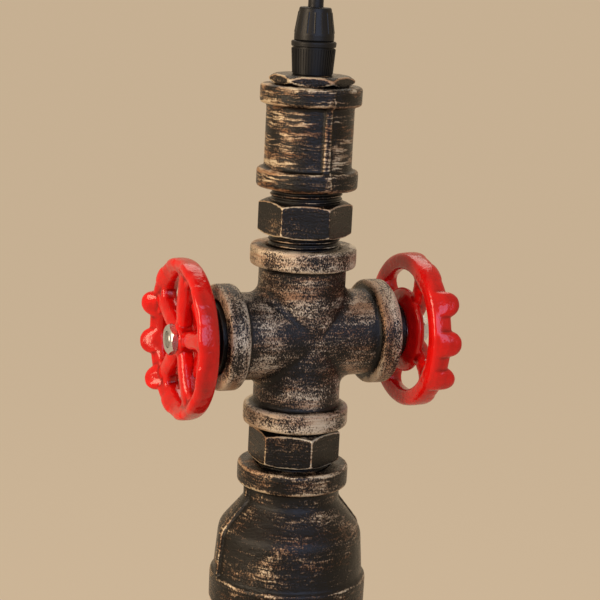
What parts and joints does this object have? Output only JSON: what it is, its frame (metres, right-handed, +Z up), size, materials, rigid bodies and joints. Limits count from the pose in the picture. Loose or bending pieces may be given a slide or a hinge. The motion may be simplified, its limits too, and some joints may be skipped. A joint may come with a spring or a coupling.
{
  "type": "industrial pendant light",
  "caption": "Industrial pendant light of pipe fittings: ceiling rose, cord, coupling, cross with red valve handwheels and a flared reducing socket that holds the lampholder.",
  "frame": {"origin": "middle of the ceiling strap's upper face, which lies against the ceiling", "axes": "+Z up to the ceiling along the cord and the pipes, +X along the wheels' axle towards the right wheel, -Y towards the viewer in front"},
  "size_m": [0.1032, 0.09, 0.3769],
  "materials": {
    "zinc_steel": "zinc plated steel",
    "black_enamel": "satin black paint on steel",
    "block_plastic": "moulded white plastic",
    "core_pvc": "brown core insulation",
    "earth_pvc": "green and yellow core insulation",
    "black_nylon": "satin black nylon",
    "cord_pvc": "black cord sheath",
    "dark_bronze_paint": "black paint on cast iron, dry brushed with bronze and copper",
    "turned_brass": "turned brass",
    "spring_steel": "spring steel",
    "bright_steel": "turned steel",
    "red_enamel": "glossy red enamel on cast metal",
    "porcelain": "glazed porcelain"
  },
  "bodies": {
    "pipework": {"ceiling_strap": "zinc_steel", "side_screws": "black_enamel", "ceiling_rose": "black_enamel", "terminal_block": "block_plastic", "terminal_screws": "zinc_steel", "rose_cores": "core_pvc", "rose_grip_body": "black_nylon", "rose_grip_nut": "black_nylon", "rose_grip_jaw": "black_nylon", "rose_grip_cap": "black_nylon", "pendant_cord": "cord_pvc", "lamp_grip_cap": "black_nylon", "lamp_grip_jaw": "black_nylon", "lamp_grip_body": "black_nylon", "reducing_bush": "dark_bronze_paint", "straight_socket": "dark_bronze_paint", "upper_nipple": "dark_bronze_paint", "cross_fitting": "dark_bronze_paint", "lower_nipple": "dark_bronze_paint", "reducing_socket": "dark_bronze_paint", "lamp_cores": "core_pvc", "earth_core": "earth_pvc", "left_plug": "dark_bronze_paint", "right_plug": "dark_bronze_paint", "hollow_rod": "turned_brass", "rod_washer": "zinc_steel", "rod_nuts": "zinc_steel", "earth_tag": "zinc_steel", "holder_bridge": "zinc_steel", "bridge_screws": "zinc_steel", "lampholder_body": "porcelain", "screw_shell": "turned_brass", "centre_contact": "turned_brass", "contact_screws": "turned_brass"},
    "left_wheel": {"left_handwheel": "red_enamel", "left_nut": "zinc_steel", "left_washer": "zinc_steel", "left_stem": "bright_steel", "left_clip": "spring_steel"},
    "right_wheel": {"right_handwheel": "red_enamel", "right_nut": "zinc_steel", "right_washer": "zinc_steel", "right_stem": "bright_steel", "right_clip": "spring_steel"}
  },
  "joints": [
    {"name": "left_wheel_turn", "type": "hinge", "parent": "pipework", "child": "left_wheel", "pos_m": [-0.045, 0, -0.2685], "axis": [-1, 0, 0], "continuous": true},
    {"name": "right_wheel_turn", "type": "hinge", "parent": "pipework", "child": "right_wheel", "pos_m": [0.045, 0, -0.2685], "axis": [1, 0, 0], "continuous": true}
  ]
}
